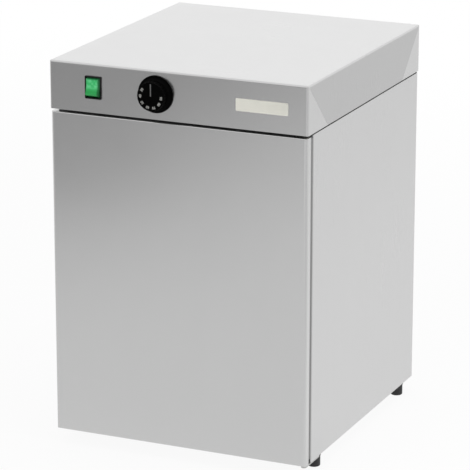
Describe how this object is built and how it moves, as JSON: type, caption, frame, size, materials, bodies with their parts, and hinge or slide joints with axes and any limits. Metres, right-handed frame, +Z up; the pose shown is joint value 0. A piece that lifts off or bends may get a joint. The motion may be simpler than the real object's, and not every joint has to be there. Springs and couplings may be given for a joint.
{
  "type": "plate warmer cabinet",
  "caption": "Free-standing stainless steel plate warmer: insulated cabinet with a hinged door, wire shelf, thermostat knob and rocker switch on a mitred hood, on short round feet.",
  "frame": {"origin": "on the floor, at the middle of the bounding box's base", "axes": "+Z up, the door and the knob face -Y, +X to the right when facing the door"},
  "size_m": [0.4, 0.472, 0.58],
  "materials": {
    "body_steel": "satin stainless, fine grain",
    "liner_steel": "plain stainless or zinc-coated sheet",
    "chrome_wire": "bright chromed wire",
    "knob_plastic": "satin black moulding",
    "switch_plastic": "black moulding",
    "rocker_green": "translucent green lens, lit",
    "black_rubber": "matt rubber",
    "foot_plastic": "satin black plastic",
    "wool": "mineral wool slab",
    "element_steel": "heat-darkened tube",
    "brass": "drawn copper alloy tube",
    "zinc_steel": "zinc-plated steel",
    "black_steel": "blackened steel",
    "magnet": "ferrite magnet",
    "thermostat_case": "moulded thermostat case",
    "ceramic": "glazed terminal block",
    "wire_insulation": "silicone-covered wire",
    "nylon": "natural nylon bush"
  },
  "bodies": {
    "cabinet": {"hood_top": "body_steel", "control_panel": "body_steel", "hood_rear_panel": "body_steel", "hood_seal": "black_rubber", "top_divider": "liner_steel", "side_panel_left": "body_steel", "side_panel_right": "body_steel", "back_panel": "liner_steel", "base_panel": "liner_steel", "front_rail_top": "body_steel", "front_rail_bottom": "body_steel", "liner_left": "liner_steel", "liner_right": "liner_steel", "liner_back": "liner_steel", "liner_roof": "liner_steel", "heater_tray": "liner_steel", "heater_cover": "liner_steel", "insulation_left": "wool", "insulation_right": "wool", "insulation_back": "wool", "insulation_roof": "wool", "insulation_base": "wool", "heating_element": "element_steel", "element_brackets": "liner_steel", "thermostat_body": "thermostat_case", "thermostat_bulb": "brass", "bulb_clips": "zinc_steel", "thermostat_screws": "zinc_steel", "switch_housing": "switch_plastic", "terminal_block": "ceramic", "internal_wiring": "wire_insulation", "cable_gland": "foot_plastic", "cable_gland_nut": "foot_plastic", "shelf_support_left": "liner_steel", "shelf_support_right": "liner_steel", "support_rivets": "zinc_steel", "hinge_bracket_top": "black_steel", "hinge_bracket_bottom": "black_steel", "bracket_screws": "zinc_steel", "magnet_catches": "magnet", "foot_front_left": "foot_plastic", "foot_front_right": "foot_plastic", "foot_rear_left": "foot_plastic", "foot_rear_right": "foot_plastic", "foot_screws": "zinc_steel", "panel_screws": "zinc_steel"},
    "door": {"door_outer": "body_steel", "door_inner": "liner_steel", "door_insulation": "wool", "door_gasket": "black_rubber", "door_grip": "foot_plastic", "hinge_bushes": "nylon", "strike_plates": "zinc_steel"},
    "knob": {"knob": "knob_plastic", "thermostat_spindle": "zinc_steel"},
    "rocker": {"switch_rocker": "rocker_green"},
    "shelf": {"shelf": "chrome_wire"}
  },
  "joints": [
    {"name": "door_hinge", "type": "hinge", "parent": "cabinet", "child": "door", "pos_m": [0.1945, -0.211, 0], "axis": [0, 0, 1], "range_deg": [0, 115]},
    {"name": "knob_turn", "type": "hinge", "parent": "cabinet", "child": "knob", "pos_m": [-0.032, -0.217, 0.546], "axis": [0, 1, 0], "range_deg": [0, 270]},
    {"name": "rocker_tilt", "type": "hinge", "parent": "cabinet", "child": "rocker", "pos_m": [-0.13, -0.212, 0.546], "axis": [1, 0, 0], "range_deg": [0, 20]},
    {"name": "shelf_lift", "type": "slide", "parent": "cabinet", "child": "shelf", "axis": [0, 0, 1], "range_m": [0, 0.02]}
  ]
}
